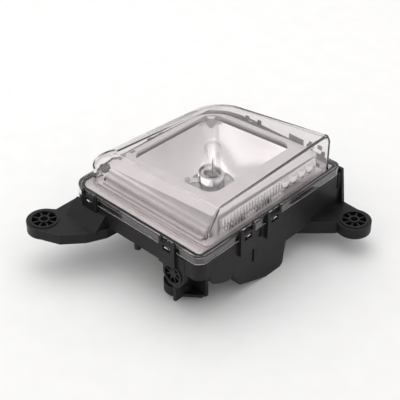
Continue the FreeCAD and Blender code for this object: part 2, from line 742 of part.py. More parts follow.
def bulb_ring():
    """The twist ring that holds the bulb's flange against its seat."""
    low = seat_height - 8.0
    skirt = tube(collar_radius + joint_gap, collar_radius + 3.0, bowl_x, bowl_y, low, seat_height + 2.0)
    cap = tube(base_radius + 2.5, collar_radius + 1.0, bowl_x, bowl_y, low, seat_height - 5.3)
    press = tube(base_radius + 4.0, flange_radius - 1.0, bowl_x, bowl_y, seat_height - 5.5, seat_height - 1.4)
    ring = join([skirt, cap, press])
    windows = []
    for i in range(3):
        for turn in range(-36, 9, 4):
            window = box(collar_radius - 0.5, collar_radius + 5, -1.6, 1.6,
                         seat_height - 4.6, seat_height - 1.4)
            window.rotate(Vec(0, 0, 0), UP, 120.0 * i + turn)
            window.translate(Vec(bowl_x, bowl_y, 0))
            windows.append(window)
    grips = []
    for i in range(12):
        grip = box(collar_radius + 2.5, collar_radius + 4.2, -1.5, 1.5, low, seat_height - 5.0)
        grips.append(turned(grip, bowl_x, bowl_y, 30.0 * i))
    return join([ring.cut(join(windows))] + grips)


# ---------------------------------------------------------------- rear boot and vent

def dust_boot():
    """The rubber boot in the rear port, with its collar round the bulb's base and a pull tab."""
    outer = port_radius - housing_wall - joint_gap
    bottom = boot_ledge - boot_height
    skirt = tube(outer - 3.0, outer, bowl_x, bowl_y, bottom, boot_ledge)
    web = tube(boot_bore, outer - 0.5, bowl_x, bowl_y, bottom, bottom + 2.2)
    collar = tube(boot_bore, boot_bore + 2.2, bowl_x, bowl_y, bottom, bottom + boot_height + 4.5)
    fold = tube(27.0, 29.0, bowl_x, bowl_y, bottom - 1.6, bottom + 0.5)
    tab = box(outer - 9.0, outer - 5.5, -6.0, 6.0, bottom - 3.5, bottom + 0.5)
    tab = turned(tab, bowl_x, bowl_y, 250.0)
    return join([skirt, web, collar, fold, tab])


def vent_cap():
    """A rubber cap over the vent stub, open at its foot so that air gets by."""
    top = -shell_depth - 3.0
    body = rod(6.0, vent_x, vent_y, -shell_depth - 10.0, top)
    return body.cut(rod(vent_stub_radius + 0.1, vent_x, vent_y, -shell_depth - 7.2, top + 1))


# ---------------------------------------------------------------- aiming screw

def adjuster_screw():
    """Shaft through the housing with a star wheel outside; its bore carries the ball stud's thread."""
    low = sleeve_end - 9.0
    shaft = rod(shaft_radius, screw_x, screw_y, sleeve_end - 3.0, deep_floor + 1.8)
    stop = rod(shaft_radius + 2.0, screw_x, screw_y, deep_floor + 0.8, deep_floor + 1.8)
    wheel = rod(10.0, screw_x, screw_y, low, low + 8.0)
    body = join([shaft, stop, wheel])
    tooth = box(9.3, 11.2, -1.0, 1.0, low + 0.5, low + 7.5)
    teeth = [turned(tooth, screw_x, screw_y, 24.0 * i) for i in range(15)]
    bore = rod(stud_radius + running_gap, screw_x, screw_y, low + 3.0, 0.0)
    groove = tube(shaft_radius - 1.0, shaft_radius + 1.0, screw_x, screw_y,
                  sleeve_end + 2.0, sleeve_end + 4.0)
    return join([body] + teeth).cut(bore).cut(groove)


def adjuster_seal():
    """The O-ring in the shaft's groove."""
    outer = shaft_radius + running_gap / 2
    return tube(shaft_radius - 1.0, outer, screw_x, screw_y, sleeve_end + 2.1, sleeve_end + 3.9)


# ---------------------------------------------------------------- signal lamp

def signal_socket():
    """Twist-in bulb socket with two bayonet lugs and a connector shroud."""
    top = -side_depth - 1.5
    shaft = rod(signal_hole - 0.3, signal_x, signal_y, top - 1, -side_depth + 9.0)
    flange = rod(signal_hole + 3.0, signal_x, signal_y, top - 2.5, top)
    neck = rod(signal_hole - 1.5, signal_x, signal_y, top - 6.0, top - 2.0)
    shroud = box(signal_x - 8, signal_x + 8, signal_y - 5, signal_y + 5, top - 17.0, top - 5.0)
    grip = box(signal_x - 11, signal_x + 11, signal_y - 1.2, signal_y + 1.2, top - 9.0, top - 2.0)
    lug_reach = signal_hole + 1.8
    lug_low = -side_depth + housing_wall + 0.3
    lug = box(-lug_reach, lug_reach, -2.0, 2.0, lug_low, lug_low + 2.0)
    body = join([shaft, flange, neck, shroud, grip, turned(lug, signal_x, signal_y, 30.0)])
    mouth = box(signal_x - 6.5, signal_x + 6.5, signal_y - 3.5, signal_y + 3.5, top - 18.0, top - 8.0)
    bore = rod(5.2, signal_x, signal_y, -side_depth + 2.0, 0.0)
    return body.cut(mouth).cut(bore)


def signal_seal():
    """Flat ring between the socket's flange and the housing."""
    return tube(signal_hole + 0.3, signal_hole + 2.8, signal_x, signal_y, -side_depth - 1.5, -side_depth)


def signal_bulb():
    """Small capless bulb with its flattened foot in the socket."""
    low = -side_depth + 2.0
    foot = box(signal_x - 4.4, signal_x + 4.4, signal_y - 1.2, signal_y + 1.2, low, low + 7.0)
    body = rod(4.9, signal_x, signal_y, low + 6.0, low + 24.0)
    tip = Part.makeSphere(4.9, Vec(signal_x, signal_y, low + 24.0))
    return join([foot, body, tip])


def signal_blades():
    """The socket's two contact blades."""
    low = -side_depth - 15.5
    blade = box(-0.3, 0.3, -2.4, 2.4, low, low + 6.0)
    return Part.makeCompound([turned(blade, signal_x + dx, signal_y, 0) for dx in (-3.0, 3.0)])


# ---------------------------------------------------------------- the whole lamp

def pieces():
    """Every separate piece by name."""
    sockets = [ball_socket(x, pivot_y, pivot_height) for x in pivot_places]
    studs = [ball_stud(x, pivot_y, pivot_height, stud_seat) for x in pivot_places]
    return {
        "housing": housing(),
        "lens": lens(),
        "lens_seal": lens_seal(),
        "reflector": reflector(),
        "glare_shield": glare_shield(),
        "shield_rivet": shield_rivet(),
        "trim": trim(),
        "trim_screws": screws(),
        "side_reflector": side_reflector(),
        "bulb_glass": bulb_glass(),
        "bulb_filament": bulb_filament(),
        "bulb_flange": bulb_flange(),
        "bulb_base": bulb_base(),
        "bulb_blades": bulb_blades(),
        "bulb_ring": bulb_ring(),
        "dust_boot": dust_boot(),
        "vent_cap": vent_cap(),
        "adjuster_screw": adjuster_screw(),
        "adjuster_seal": adjuster_seal(),
        "aim_stud": ball_stud(screw_x, screw_y, ball_height, sleeve_end - 1.0),
        "aim_socket": ball_socket(screw_x, screw_y, ball_height),
        "pivot_sockets": Part.makeCompound(sockets),
        "pivot_studs": Part.makeCompound(studs),
        "signal_socket": signal_socket(),
        "signal_seal": signal_seal(),
        "signal_bulb": signal_bulb(),
        "signal_blades": signal_blades(),
    }


def stand(shapes):
    """Move all pieces so that the box round them stands on the origin."""
    bounds = None
    for shape in shapes.values():
        shape_box = shape.optimalBoundingBox(False)
        if bounds is None:
            bounds = shape_box
        else:
            bounds.add(shape_box)
    shift = Vec(-bounds.Center.x, -bounds.Center.y, -bounds.ZMin)
    for shape in shapes.values():
        shape.translate(shift)
    print("shift", [round(value, 4) for value in shift])
    print("size", [round(value, 3) for value in (bounds.XLength, bounds.YLength, bounds.ZLength)])


os.makedirs("parts", exist_ok=True)
made = pieces()
stand(made)
for name, shape in made.items():
    solids = len(shape.Solids)
    print(f"{name:16s} solids {solids:2d} volume {shape.Volume:10.1f} valid {shape.isValid()}")
    shape.exportStep(f"parts/{name}.step")
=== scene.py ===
import math

import bmesh
import bpy
import numpy as np
from mathutils import Matrix, Vector


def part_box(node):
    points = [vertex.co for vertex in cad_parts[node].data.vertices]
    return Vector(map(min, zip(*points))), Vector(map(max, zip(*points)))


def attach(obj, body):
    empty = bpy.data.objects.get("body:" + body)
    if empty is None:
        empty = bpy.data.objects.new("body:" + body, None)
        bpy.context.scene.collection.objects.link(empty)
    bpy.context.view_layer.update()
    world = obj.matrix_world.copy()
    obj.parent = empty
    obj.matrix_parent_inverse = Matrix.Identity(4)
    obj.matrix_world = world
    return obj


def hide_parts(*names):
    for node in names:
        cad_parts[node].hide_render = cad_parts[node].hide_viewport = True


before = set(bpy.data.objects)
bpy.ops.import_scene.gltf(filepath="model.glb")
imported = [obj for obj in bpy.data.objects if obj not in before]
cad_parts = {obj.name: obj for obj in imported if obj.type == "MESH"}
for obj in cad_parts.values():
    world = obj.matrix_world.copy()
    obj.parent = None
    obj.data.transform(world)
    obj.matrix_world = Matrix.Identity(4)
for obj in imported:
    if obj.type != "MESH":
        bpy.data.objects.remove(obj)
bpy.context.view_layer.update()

# ---------------------------------------------------------------- lens
# The lens is one clear moulding: a domed box with a flange round its foot and a skirt that the clips hold.
# Its roof is twisted, highest over the tall right wall, and its left and back walls curve into the roof.
# Eight small teeth stand out of the skirt where the clips catch it. The plastic is faintly purple-grey.

lens_low, lens_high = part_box("lens")
datum = np.array((lens_low.x + lens_high.x, lens_low.y + lens_high.y, lens_low.z * 2)) / 2
datum += (0.0015, 0.0, 0.009)

# Outlines in millimetres: x from left to right, then y from front to back, and the four corners' radii.
FOOT, FOOT_RADII = (-72.0, 72.0, -79.5, 79.5), (2.5, 2.5, 33, 11)
EAVES, EAVES_RADII = (-52.0, 72.0, -65.4, 70.5), (2, 2, 24, 4)
BODY, BODY_RADII = (-79.0, 76.0, -93.0, 93.0), (9, 7, 38, 14)
LENS_WALL = 2.6
SKIRT_WALL = 2.4
SKIRT_DEPTH = 9.0
FLANGE_DEPTH = 3.0
SIDE_POINTS, CORNER_POINTS = 40, 14


def place(points):
    """Millimetres from the middle of the dome's foot become metres in the object's frame."""
    return np.asarray(points, float) * 0.001 + datum


def skin(name, grids, body, crease=35.0):
    """A mesh with one four-sided face between each four neighbouring points of every grid."""
    points, faces, start = [], [], 0
    for grid, around in grids:
        rows, columns = grid.shape[:2]
        index = start + np.arange(rows * columns).reshape(rows, columns)
        if around:
            index = np.concatenate([index, index[:, :1]], axis=1)
        quads = np.stack([index[:-1, :-1], index[:-1, 1:], index[1:, 1:], index[1:, :-1]], axis=-1)
        points.append(place(grid.reshape(-1, 3)))
        faces.append(quads.reshape(-1, 4))
        start += rows * columns
    mesh = bpy.data.meshes.new(name)
    mesh.from_pydata(np.concatenate(points).tolist(), [], np.concatenate(faces).tolist())
    work = bmesh.new()
    work.from_mesh(mesh)
    bmesh.ops.remove_doubles(work, verts=work.verts, dist=2e-6)
    bmesh.ops.dissolve_degenerate(work, edges=work.edges, dist=1e-7)
    bmesh.ops.recalc_face_normals(work, faces=work.faces)
    work.to_mesh(mesh)
    work.free()
    mesh.polygons.foreach_set("use_smooth", np.ones(len(mesh.polygons), bool))
    mesh.set_sharp_from_angle(angle=math.radians(crease))
    piece = bpy.data.objects.new(name, mesh)
    bpy.context.scene.collection.objects.link(piece)
    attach(piece, body)
    return piece


def rounded_loop(x0, x1, y0, y1, radii, side=SIDE_POINTS, corner=CORNER_POINTS):
    """A rectangle with an arc at each corner. Radii: front right, back right, back left, front left."""
    corners = np.array(((x1, y0), (x1, y1), (x0, y1), (x0, y0)), float)
    inward = np.array(((-1, 1), (-1, -1), (1, -1), (1, 1)), float)
    first = np.radians((270, 0, 90, 180))
    sweep = np.linspace(0, math.pi / 2, corner)
    arcs = [c + n * r + r * np.column_stack([np.cos(a + sweep), np.sin(a + sweep)])
            for c, n, r, a in zip(corners, inward, radii, first)]
    part = (np.arange(side) + 1.0)[:, None] / (side + 1)
    runs = []
    for here, after in zip(arcs, arcs[1:] + arcs[:1]):
        runs += [here, here[-1] * (1 - part) + after[0] * part]
    return np.concatenate(runs)


def inset_outline(outline, inset):
    """An outline moved inwards on all four sides."""
    return outline[0] + inset, outline[1] - inset, outline[2] + inset, outline[3] - inset


def side_values(at_corners, side=SIDE_POINTS, corner=CORNER_POINTS):
    """One value per point of a rounded loop, from its values at the start and end of each corner's arc."""
    runs = []
    for (start, end), (following, _) in zip(at_corners, at_corners[1:] + at_corners[:1]):
        runs.append(np.linspace(start, end, corner))
        runs.append(end + (following - end) * (np.arange(side) + 1.0) / (side + 1))
    return np.concatenate(runs)


def level(loop, z):
    """A loop in the plane, given its height."""
    return np.column_stack([loop, np.broadcast_to(z, len(loop))])


def soften(before, corner, after, radius, rows=5):
    """Rows of a quadratic curve round a corner, starting and ending `radius` away from it at most."""
    ends = []
    for reach in (before - corner, after - corner):
        share = radius / np.maximum(np.linalg.norm(reach, axis=1), 1e-6)
        ends.append(corner + reach * np.minimum(0.48, share)[:, None])
    ahead, beyond = ends
    t = np.linspace(0, 1, rows)[:, None, None]
    return list((1 - t) ** 2 * ahead + 2 * t * (1 - t) * corner + t ** 2 * beyond)


def between(start, end, rows):
    """Evenly spaced rows strictly between two rows."""
    return [start + (end - start) * (i + 1) / (rows + 1) for i in range(rows)]


def roof_height(points, drop=0.0):
    """The roof's height: each corner has its own, and between them it changes evenly along x and along y."""
    u = (points[:, 0] + 50) / 122
    v = (points[:, 1] + 65) / 137
    front = 31.5 + (34.5 - 31.5) * u
    back = 20.5 + (38.7 - 20.5) * u
    return front + (back - front) * v - drop


def dome(inset, drop, foot_height):
    """Rows from foot to roof: straight walls at the front and right, walls bent towards arcs elsewhere."""
    foot = rounded_loop(*inset_outline(FOOT, inset), [max(0.8, r - inset) for r in FOOT_RADII])
    left, right, front, behind = inset_outline(EAVES, inset / 2)
    eaves = rounded_loop(left, right - inset / 2, front, behind, [max(0.8, r - inset / 2) for r in EAVES_RADII])
    roof = roof_height(eaves, drop)
    arch = side_values([(0, 0), (0, 1), (1, 0.75), (0.5, 0)])[:, None]
    wall_top = side_values([(15, 15), (29.7, 29.7), (11.5, 8.5), (17.5, 15)])
    wall_top = np.minimum(wall_top, roof - 4)
    foot_row = level(foot, foot_height)
    wall_row = level(foot, wall_top - drop * 0.5)
    eaves_row = level(eaves, roof)
    rows = []
    for t in np.linspace(0, 1, 15)[1:-1]:
        straight = wall_row + (eaves_row - wall_row) * t
        arc = wall_row.copy()
        arc[:, :2] += (eaves_row - wall_row)[:, :2] * (1 - math.cos(t * math.pi / 2))
        arc[:, 2] += (eaves_row - wall_row)[:, 2] * math.sin(t * math.pi / 2)
        rows.append(straight * (1 - arch) + arc * arch)
    centre = np.array((10.0, 2.5))
    roof_rows = []
    for t in (0.97, 0.9, 0.8, 0.7, 0.6, 0.5, 0.4, 0.3, 0.2, 0.1, 0.03, 0.0):
        loop = centre + (eaves - centre) * t
        roof_rows.append(level(loop, roof_height(loop, drop)))
    walls = between(foot_row, wall_row, 6)
    return (foot_row, walls + soften(walls[-1], wall_row, rows[0], 1.2, 4) + rows[1:-1]
            + soften(rows[-1], eaves_row, roof_rows[0], 1.3, 5) + roof_rows)


def lens_rows():
    """Every row of the lens in turn: outer dome from its middle, flange, skirt, underside, inner dome."""
    foot, outer = dome(0.0, 0.0, 0.0)
    body = rounded_loop(*BODY, BODY_RADII)
    inner_body = rounded_loop(*inset_outline(BODY, SKIRT_WALL), [r - SKIRT_WALL for r in BODY_RADII])
    rim, skirt = level(body, 0.0), level(body, -SKIRT_DEPTH)
    inner_skirt, ceiling = level(inner_body, -SKIRT_DEPTH), level(inner_body, -FLANGE_DEPTH)
    inner_foot, inner = dome(LENS_WALL, LENS_WALL, -FLANGE_DEPTH)
    rows = outer[::-1]
    rows += soften(outer[0], foot, rim, 1.6, 6)
    rows += between(foot, rim, 2)
    rows += soften(foot, rim, skirt, 0.8, 5)
    rows += between(rim, skirt, 3)
    rows += soften(rim, skirt, inner_skirt, 0.5, 4)
    rows += soften(skirt, inner_skirt, ceiling, 0.5, 4)
    rows += between(inner_skirt, ceiling, 2)
    rows += soften(inner_skirt, ceiling, inner_foot, 0.5, 3)
    rows += soften(ceiling, inner_foot, inner[0], 0.9, 4)
    return rows + inner


def block(x0, x1, y0, y1, z0, z1, edge=0.35):
    """A box with softened edges as rows of loops between its two closed ends."""
    full = rounded_loop(x0, x1, y0, y1, [edge * 2] * 4, 2, 4)
    less = rounded_loop(x0 + edge, x1 - edge, y0 + edge, y1 - edge, [edge] * 4, 2, 4)
    middle = np.array(((x0 + x1) / 2, (y0 + y1) / 2))
    pole = np.broadcast_to(middle, less.shape)
    return np.stack([level(pole, z0), level(less, z0), level(full, z0 + edge),
                     level(full, z1 - edge), level(less, z1), level(pole, z1)])


def turned(grid, degrees, x=0.0, y=0.0):
    """A grid turned about an upright axis through (x, y)."""
    c, s = math.cos(math.radians(degrees)), math.sin(math.radians(degrees))
    moved = grid - (x, y, 0)
    return moved @ np.array(((c, s, 0), (-s, c, 0), (0, 0, 1))) + (x, y, 0)


def tooth(side, along):
    """A wedge on the skirt: its section grows outwards going down, so the clip springs over it."""
    half, reach = 3.5, 2.6
    profile = np.array(((-0.6, -3.6), (0.3, -3.6), (reach - 0.3, -6.6), (reach, -7.0), (reach - 0.2, -7.4),
                        (-0.6, -7.4)))
    stations = np.array((-half, -half + 0.25, half - 0.25, half))
    inset = np.array((0.35, 0.0, 0.0, 0.35))
    middle = profile.mean(axis=0)
    rows = []
    for place_along, less in zip(stations, inset):
        section = middle + (profile - middle) * (1 - less * 0.3)
        rows.append(np.column_stack([np.full(len(section), place_along), -section[:, 0], section[:, 1]]))
    first, last = (np.broadcast_to(row.mean(axis=0), row.shape) for row in (rows[0], rows[-1]))
    grid = np.stack([first] + rows + [last])
    if side == 0:
        return grid + (along, BODY[2], 0)
    if side == 90:
        return turned(grid, 90) + (BODY[1], along, 0)
    if side == 180:
        return turned(grid, 180) + (along, BODY[3], 0)
    return turned(grid, 270) + (BODY[0], along, 0)


def noise(tree, scale, detail, roughness=0.55):
    """A noise texture with its values set on the sockets."""
    node = tree.nodes.new("ShaderNodeTexNoise")
    node.inputs["Scale"].default_value = scale
    node.inputs["Detail"].default_value = detail
    node.inputs["Roughness"].default_value = roughness
    return node


def mapped(tree, value, low, high, to_low, to_high):
    """A value carried from one range to another."""
    node = tree.nodes.new("ShaderNodeMapRange")
    for label, number in (("From Min", low), ("From Max", high), ("To Min", to_low), ("To Max", to_high)):
        node.inputs[label].default_value = number
    tree.links.new(value, node.inputs["Value"])
    return node.outputs["Result"]


def clear_material(name, tint, density, roughness, see_through=0.0):
    """Clear moulding: glass with a little absorption, letting light straight through to what it covers."""
    made = bpy.data.materials.new(name)
    made.use_nodes = True
    tree = made.node_tree
    surface = tree.nodes["Principled BSDF"]
    surface.inputs["Base Color"].default_value = (1.0, 0.995, 0.995, 1)
    surface.inputs["Metallic"].default_value = 0.0
    surface.inputs["Transmission Weight"].default_value = 1.0
    surface.inputs["IOR"].default_value = 1.5
    where = tree.nodes.new("ShaderNodeTexCoord")
    smear = noise(tree, 30.0, 3.0)
    tree.links.new(where.outputs["Object"], smear.inputs["Vector"])
    dull = mapped(tree, smear.outputs["Fac"], 0.35, 0.75, roughness, roughness + 0.03)
    tree.links.new(dull, surface.inputs["Roughness"])
    clear = tree.nodes.new("ShaderNodeBsdfTransparent")
    clear.inputs["Color"].default_value = (0.95, 0.945, 0.95, 1)
    light = tree.nodes.new("ShaderNodeLightPath")
    mix = tree.nodes.new("ShaderNodeMixShader")
    thin = tree.nodes.new("ShaderNodeMath")
    thin.operation = "MAXIMUM"
    thin.inputs[1].default_value = see_through
    tree.links.new(light.outputs["Is Shadow Ray"], thin.inputs[0])
    tree.links.new(thin.outputs[0], mix.inputs[0])
    tree.links.new(surface.outputs[0], mix.inputs[1])
    tree.links.new(clear.outputs[0], mix.inputs[2])
    out = tree.nodes["Material Output"]
    tree.links.new(mix.outputs[0], out.inputs["Surface"])
    absorb = tree.nodes.new("ShaderNodeVolumeAbsorption")
    absorb.inputs["Color"].default_value = (*tint, 1)
    absorb.inputs["Density"].default_value = density
    tree.links.new(absorb.outputs[0], out.inputs["Volume"])
    return made


def dress(piece, made):
    """Give a piece, or a CAD node by its name, its one material."""
    mesh = (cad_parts[piece] if isinstance(piece, str) else piece).data
    mesh.materials.clear()
    mesh.materials.append(made)


teeth = [(tooth(side, along), True) for side, along in
         ((0, -54), (0, 41), (90, -37), (90, -3), (180, 45), (180, -30), (270, -50), (270, 10))]
lens = skin("lens_moulding", [(np.stack(lens_rows()), True)] + teeth, "housing", crease=50)
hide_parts("lens")
lens_clear = clear_material("Clear lens", (0.55, 0.42, 0.46), 48.0, 0.0)
dress(lens, lens_clear)

# ---------------------------------------------------------------- marks on the lens
# The lens carries small grey frosted patches, here plain bars with no lettering. They are thin strips on the
# inner face of its back wall and under the front left of its roof, fused to the clear plastic.


def effect(name, inputs, outputs):
    """An empty node group with named inputs and outputs."""
    group = bpy.data.node_groups.new(name, "ShaderNodeTree")
    for label, kind, value in inputs:
        socket = group.interface.new_socket(label, in_out="INPUT", socket_type=kind)
        if value is not None:
            socket.default_value = value
    for label, kind in outputs:
        group.interface.new_socket(label, in_out="OUTPUT", socket_type=kind)
    return group, group.nodes.new("NodeGroupInput"), group.nodes.new("NodeGroupOutput")


def grain_group():
    """Fine bumps for the moulded grain, and slow patches in tone and shine."""
    takes = (("Position", "NodeSocketVector", None), ("Fineness", "NodeSocketFloat", 1600.0),
             ("Depth", "NodeSocketFloat", 0.1))
    gives = (("Patches", "NodeSocketFloat"), ("Normal", "NodeSocketVector"))
    group, start, end = effect("Surface grain", takes, gives)
    fine = noise(group, 1600.0, 3.0)
    slow = noise(group, 45.0, 4.0)
    bump = group.nodes.new("ShaderNodeBump")
    bump.inputs["Distance"].default_value = 0.0002
    for node in (fine, slow):
        group.links.new(start.outputs["Position"], node.inputs["Vector"])
    group.links.new(start.outputs["Fineness"], fine.inputs["Scale"])
    group.links.new(start.outputs["Depth"], bump.inputs["Strength"])
    group.links.new(fine.outputs["Fac"], bump.inputs["Height"])
    group.links.new(mapped(group, slow.outputs["Fac"], 0.35, 0.65, 0.0, 1.0), end.inputs["Patches"])
    group.links.new(bump.outputs["Normal"], end.inputs["Normal"])
    return group


def wear_group():
    """A mask that is bright on rubbed edges: how far a rounded normal leaves the true one, broken by noise."""
    takes = (("Position", "NodeSocketVector", None),)
    group, start, end = effect("Worn edges", takes, (("Mask", "NodeSocketFloat"),))
    bevel = group.nodes.new("ShaderNodeBevel")
    bevel.samples = 4
    bevel.inputs["Radius"].default_value = 0.0006
    true = group.nodes.new("ShaderNodeNewGeometry")
    dot = group.nodes.new("ShaderNodeVectorMath")
    dot.operation = "DOT_PRODUCT"
    group.links.new(bevel.outputs["Normal"], dot.inputs[0])
    group.links.new(true.outputs["Normal"], dot.inputs[1])
    patch = noise(group, 220.0, 4.0)
    group.links.new(start.outputs["Position"], patch.inputs["Vector"])
    both = group.nodes.new("ShaderNodeMath")
    both.operation = "MULTIPLY"
    group.links.new(mapped(group, dot.outputs["Value"], 0.99, 0.85, 0.0, 1.0), both.inputs[0])
    group.links.new(mapped(group, patch.outputs["Fac"], 0.35, 0.7, 0.15, 1.0), both.inputs[1])
    group.links.new(both.outputs[0], end.inputs["Mask"])
    return group


grain_effect = grain_group()
wear_effect = wear_group()


def solid_material(name, colour, roughness, metallic=0.0, fineness=1600.0, depth=0.1, tone=0.12,
                   shine=0.08, worn=None, gloss=0.5):
    """A surface with grain, patches in tone and shine and, where given, edges of a rubbed colour."""
    made = bpy.data.materials.new(name)
    made.use_nodes = True
    tree = made.node_tree
    surface = tree.nodes["Principled BSDF"]
    surface.inputs["Metallic"].default_value = metallic
    surface.inputs["Specular IOR Level"].default_value = gloss
    where = tree.nodes.new("ShaderNodeTexCoord")
    grain = tree.nodes.new("ShaderNodeGroup")
    grain.node_tree = grain_effect
    grain.inputs["Fineness"].default_value = fineness
    grain.inputs["Depth"].default_value = depth
    tree.links.new(where.outputs["Object"], grain.inputs["Position"])
    blend = tree.nodes.new("ShaderNodeMix")
    blend.data_type = "RGBA"
    blend.inputs[6].default_value = (*[c * (1 - tone) for c in colour], 1)
    blend.inputs[7].default_value = (*[min(1.0, c * (1 + tone)) for c in colour], 1)
    tree.links.new(grain.outputs["Patches"], blend.inputs[0])
    result = blend.outputs[2]
    if worn is not None:
        wear = tree.nodes.new("ShaderNodeGroup")
        wear.node_tree = wear_effect
        tree.links.new(where.outputs["Object"], wear.inputs["Position"])
        rub = tree.nodes.new("ShaderNodeMix")
        rub.data_type = "RGBA"
        rub.inputs[7].default_value = (*worn, 1)
        tree.links.new(wear.outputs["Mask"], rub.inputs[0])
        tree.links.new(result, rub.inputs[6])
        result = rub.outputs[2]
    tree.links.new(result, surface.inputs["Base Color"])
    tree.links.new(mapped(tree, grain.outputs["Patches"], 0.0, 1.0, roughness - shine, roughness + shine),
                   surface.inputs["Roughness"])
    tree.links.new(grain.outputs["Normal"], surface.inputs["Normal"])
    return made


def frosted_bars():
    """Three strips stand upright behind the back wall's inner face, two lie under the roof's left end."""
    grids = []
    for x0, x1, low, high in ((27, 44, 12.0, 17.5), (50, 54, 15.0, 19.5), (58, 63, 17.0, 21.5)):
        grids.append((block(x0, x1, 76.4, 76.8, low, high, 0.1), True))
    for x0, x1, y0, y1 in ((-47, -42, -67, -60), (-45, -42, -54, -49)):
        high = roof_height(np.array(((x0, y0), (x1, y1))), 3.2).min()
        grids.append((block(x0, x1, y0, y1, high - 0.4, high, 0.1), True))
    return grids


bars = skin("lens_marks", frosted_bars(), "housing", crease=40)
frosted = solid_material("Frosted mark", (0.30, 0.29, 0.30), 0.6, 0.0, 900.0, 0.2, 0.25, 0.08)
dress(bars, frosted)

# ---------------------------------------------------------------- housing
# The housing is one black glass-filled moulding with its ears and clips, finely grained and rubbed lighter on
# its edges. A bead of dark sealant lies between its rim and the lens flange. The vent cap is soft rubber.

black = solid_material("Black moulding", (0.011, 0.0105, 0.011), 0.46, 0.0, 1700.0, 0.22, 0.25, 0.09,
                       (0.06, 0.058, 0.06),
                       0.22)
sealant = solid_material("Sealant", (0.05, 0.05, 0.055), 0.6, 0.0, 500.0, 0.2, 0.2, 0.08)
rubber = solid_material("Black rubber", (0.018, 0.018, 0.019), 0.72, 0.0, 1100.0, 0.25, 0.3, 0.06)
dress("housing", black)
dress("lens_seal", sealant)
dress("vent_cap", rubber)

# ---------------------------------------------------------------- trim
# The trim is a satin silver frame round the bowl, screwed down from behind with four zinc-plated screws.
# A thin satin apron with fine grooves lies round its foot, under the lens flange, and rests on it.

satin = solid_material("Satin silver", (0.70, 0.675, 0.67), 0.42, 0.6, 1400.0, 0.05, 0.04, 0.05)
steel = solid_material("Zinc-plated steel", (0.60, 0.60, 0.61), 0.32, 1.0, 1200.0, 0.06, 0.08, 0.08,
                       (0.75, 0.75, 0.75))
dress("trim", satin)
dress("trim_screws", steel)


def apron_rows():
    """A flat ring between two rounded rectangles: the top dips in seven grooves, the underside is plain."""
    inner = rounded_loop(-67, 66, -74.5, 74.5, (3, 3, 30, 9))
    outer = rounded_loop(-73.2, 70.2, -87.2, 87.2, (3.6, 1.6, 32.6, 8.6))
    rows = []
    for f in np.linspace(0, 1, 57):
        groove = max(0.0, 1 - abs((f * 7) % 1 - 0.5) * 5) if 0.02 < f < 0.98 else 0.0
        rows.append(level(inner + (outer - inner) * f, -3.2 - 0.7 * groove))
    under = [level(outer, -4.4), level(inner, -4.4)]
    return np.stack(rows + under + rows[:1])


apron = skin("trim_apron", [(apron_rows(), True)], "housing", crease=30)
dress(apron, satin)

# ---------------------------------------------------------------- reflector
# The reflector is a moulded bowl with a mirror coat inside: a square rim runs down to the round bulb opening.
# Its four faces meet in creases at the corners and are slightly hollow, and it carries a collar for the bulb
# below. An arm at the front and two at the back reach the balls that it tilts on.

BOWL = np.array((-12.0, 17.0))


def trim_face(points):
    """The height of the sloping face of the trim round the bowl."""
    return 12.5 + 0.08 * points[:, 0] - 0.02 * points[:, 1]


def ring_at(radius, angles):
    """Points of a circle round the bulb's axis at the given angles."""
    return BOWL + radius * np.column_stack([np.cos(angles), np.sin(angles)])


def bowl_rows(radius, spread, depth, steps):
    """From the bulb opening to the rim: even steps outwards, rising as 0.5 t + 0.5 t squared."""
    rim = rounded_loop(-62 - spread, 40 + spread, -40 - spread, 68 + spread, (4, 4, 15, 6))
    angles = side_values([(-0.87, -0.79), (0.74, 0.81), (2.30, 2.40), (3.95, 4.03)])
    angles[-40:] = np.linspace(4.03, 2 * math.pi - 0.87, 42)[1:-1]
    circle = ring_at(radius, angles)
    top = trim_face(rim) - 6.3
    rows = []
    for t in steps:
        rise = (top + 25.6 + depth * (1 - t)) * (0.5 * t + 0.5 * t * t)
        rows.append(level(circle + (rim - circle) * t, -25.6 - depth + rise))
    return rows, angles


def reflector_grids():
    """The bowl as one closed shell with its collar, then arms and bayonet pegs."""
    inside, angles = bowl_rows(20.5, 0.0, 0.0, np.linspace(0, 1, 26))
    outside, _ = bowl_rows(25.5, 2.3, 2.8, np.linspace(1, 0, 26))
    seat = [level(ring_at(r, angles), z) for r, z in
            ((25.5, -28.6), (25.5, -33.8), (25.3, -34.0), (22.0, -34.0), (21.8, -33.8), (21.8, -29.0),
             (20.5, -29.0), (20.5, -26.0))]
    lip = soften(inside[-2], inside[-1], outside[0], 0.5, 4)
    shell = inside[:-1] + lip + outside[1:] + seat + [inside[0]]
    grids = [(np.stack(shell), True)]
    grids.append((block(-20, -4, -70.5, -36.5, -8.0, -5.5), True))
    for x in (-42.0, 20.0):
        grids.append((block(x - 8, x + 8, 66.0, 84.0, -7.5, -5.0), True))
    for i in range(3):
        grids.append((turned(block(24.8, 27.2, -2.2, 2.2, -33.0, -31.0), 120 * i) + (-12, 17, 0), True))
    return grids


reflector = skin("reflector_bowl", reflector_grids(), "reflector", crease=25)
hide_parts("reflector")
mirror = solid_material("Mirror coat", (0.84, 0.825, 0.82), 0.2, 1.0, 900.0, 0.012, 0.02, 0.03)
grey = solid_material("Grey plastic", (0.22, 0.22, 0.23), 0.5, 0.0, 1500.0, 0.15, 0.12, 0.08, (0.34,
                      0.34, 0.34))
dress(reflector, mirror)
dress("glare_shield", mirror)
dress("shield_rivet", steel)
for node in ("aim_socket", "pivot_sockets"):
    dress(node, grey)

# ---------------------------------------------------------------- side reflector
# A bright plate stands behind the tall clear wall at the right: upright flutes along its front part, four
# pillows behind them. It is a mirror-coated moulding that rests on the trim's foot.


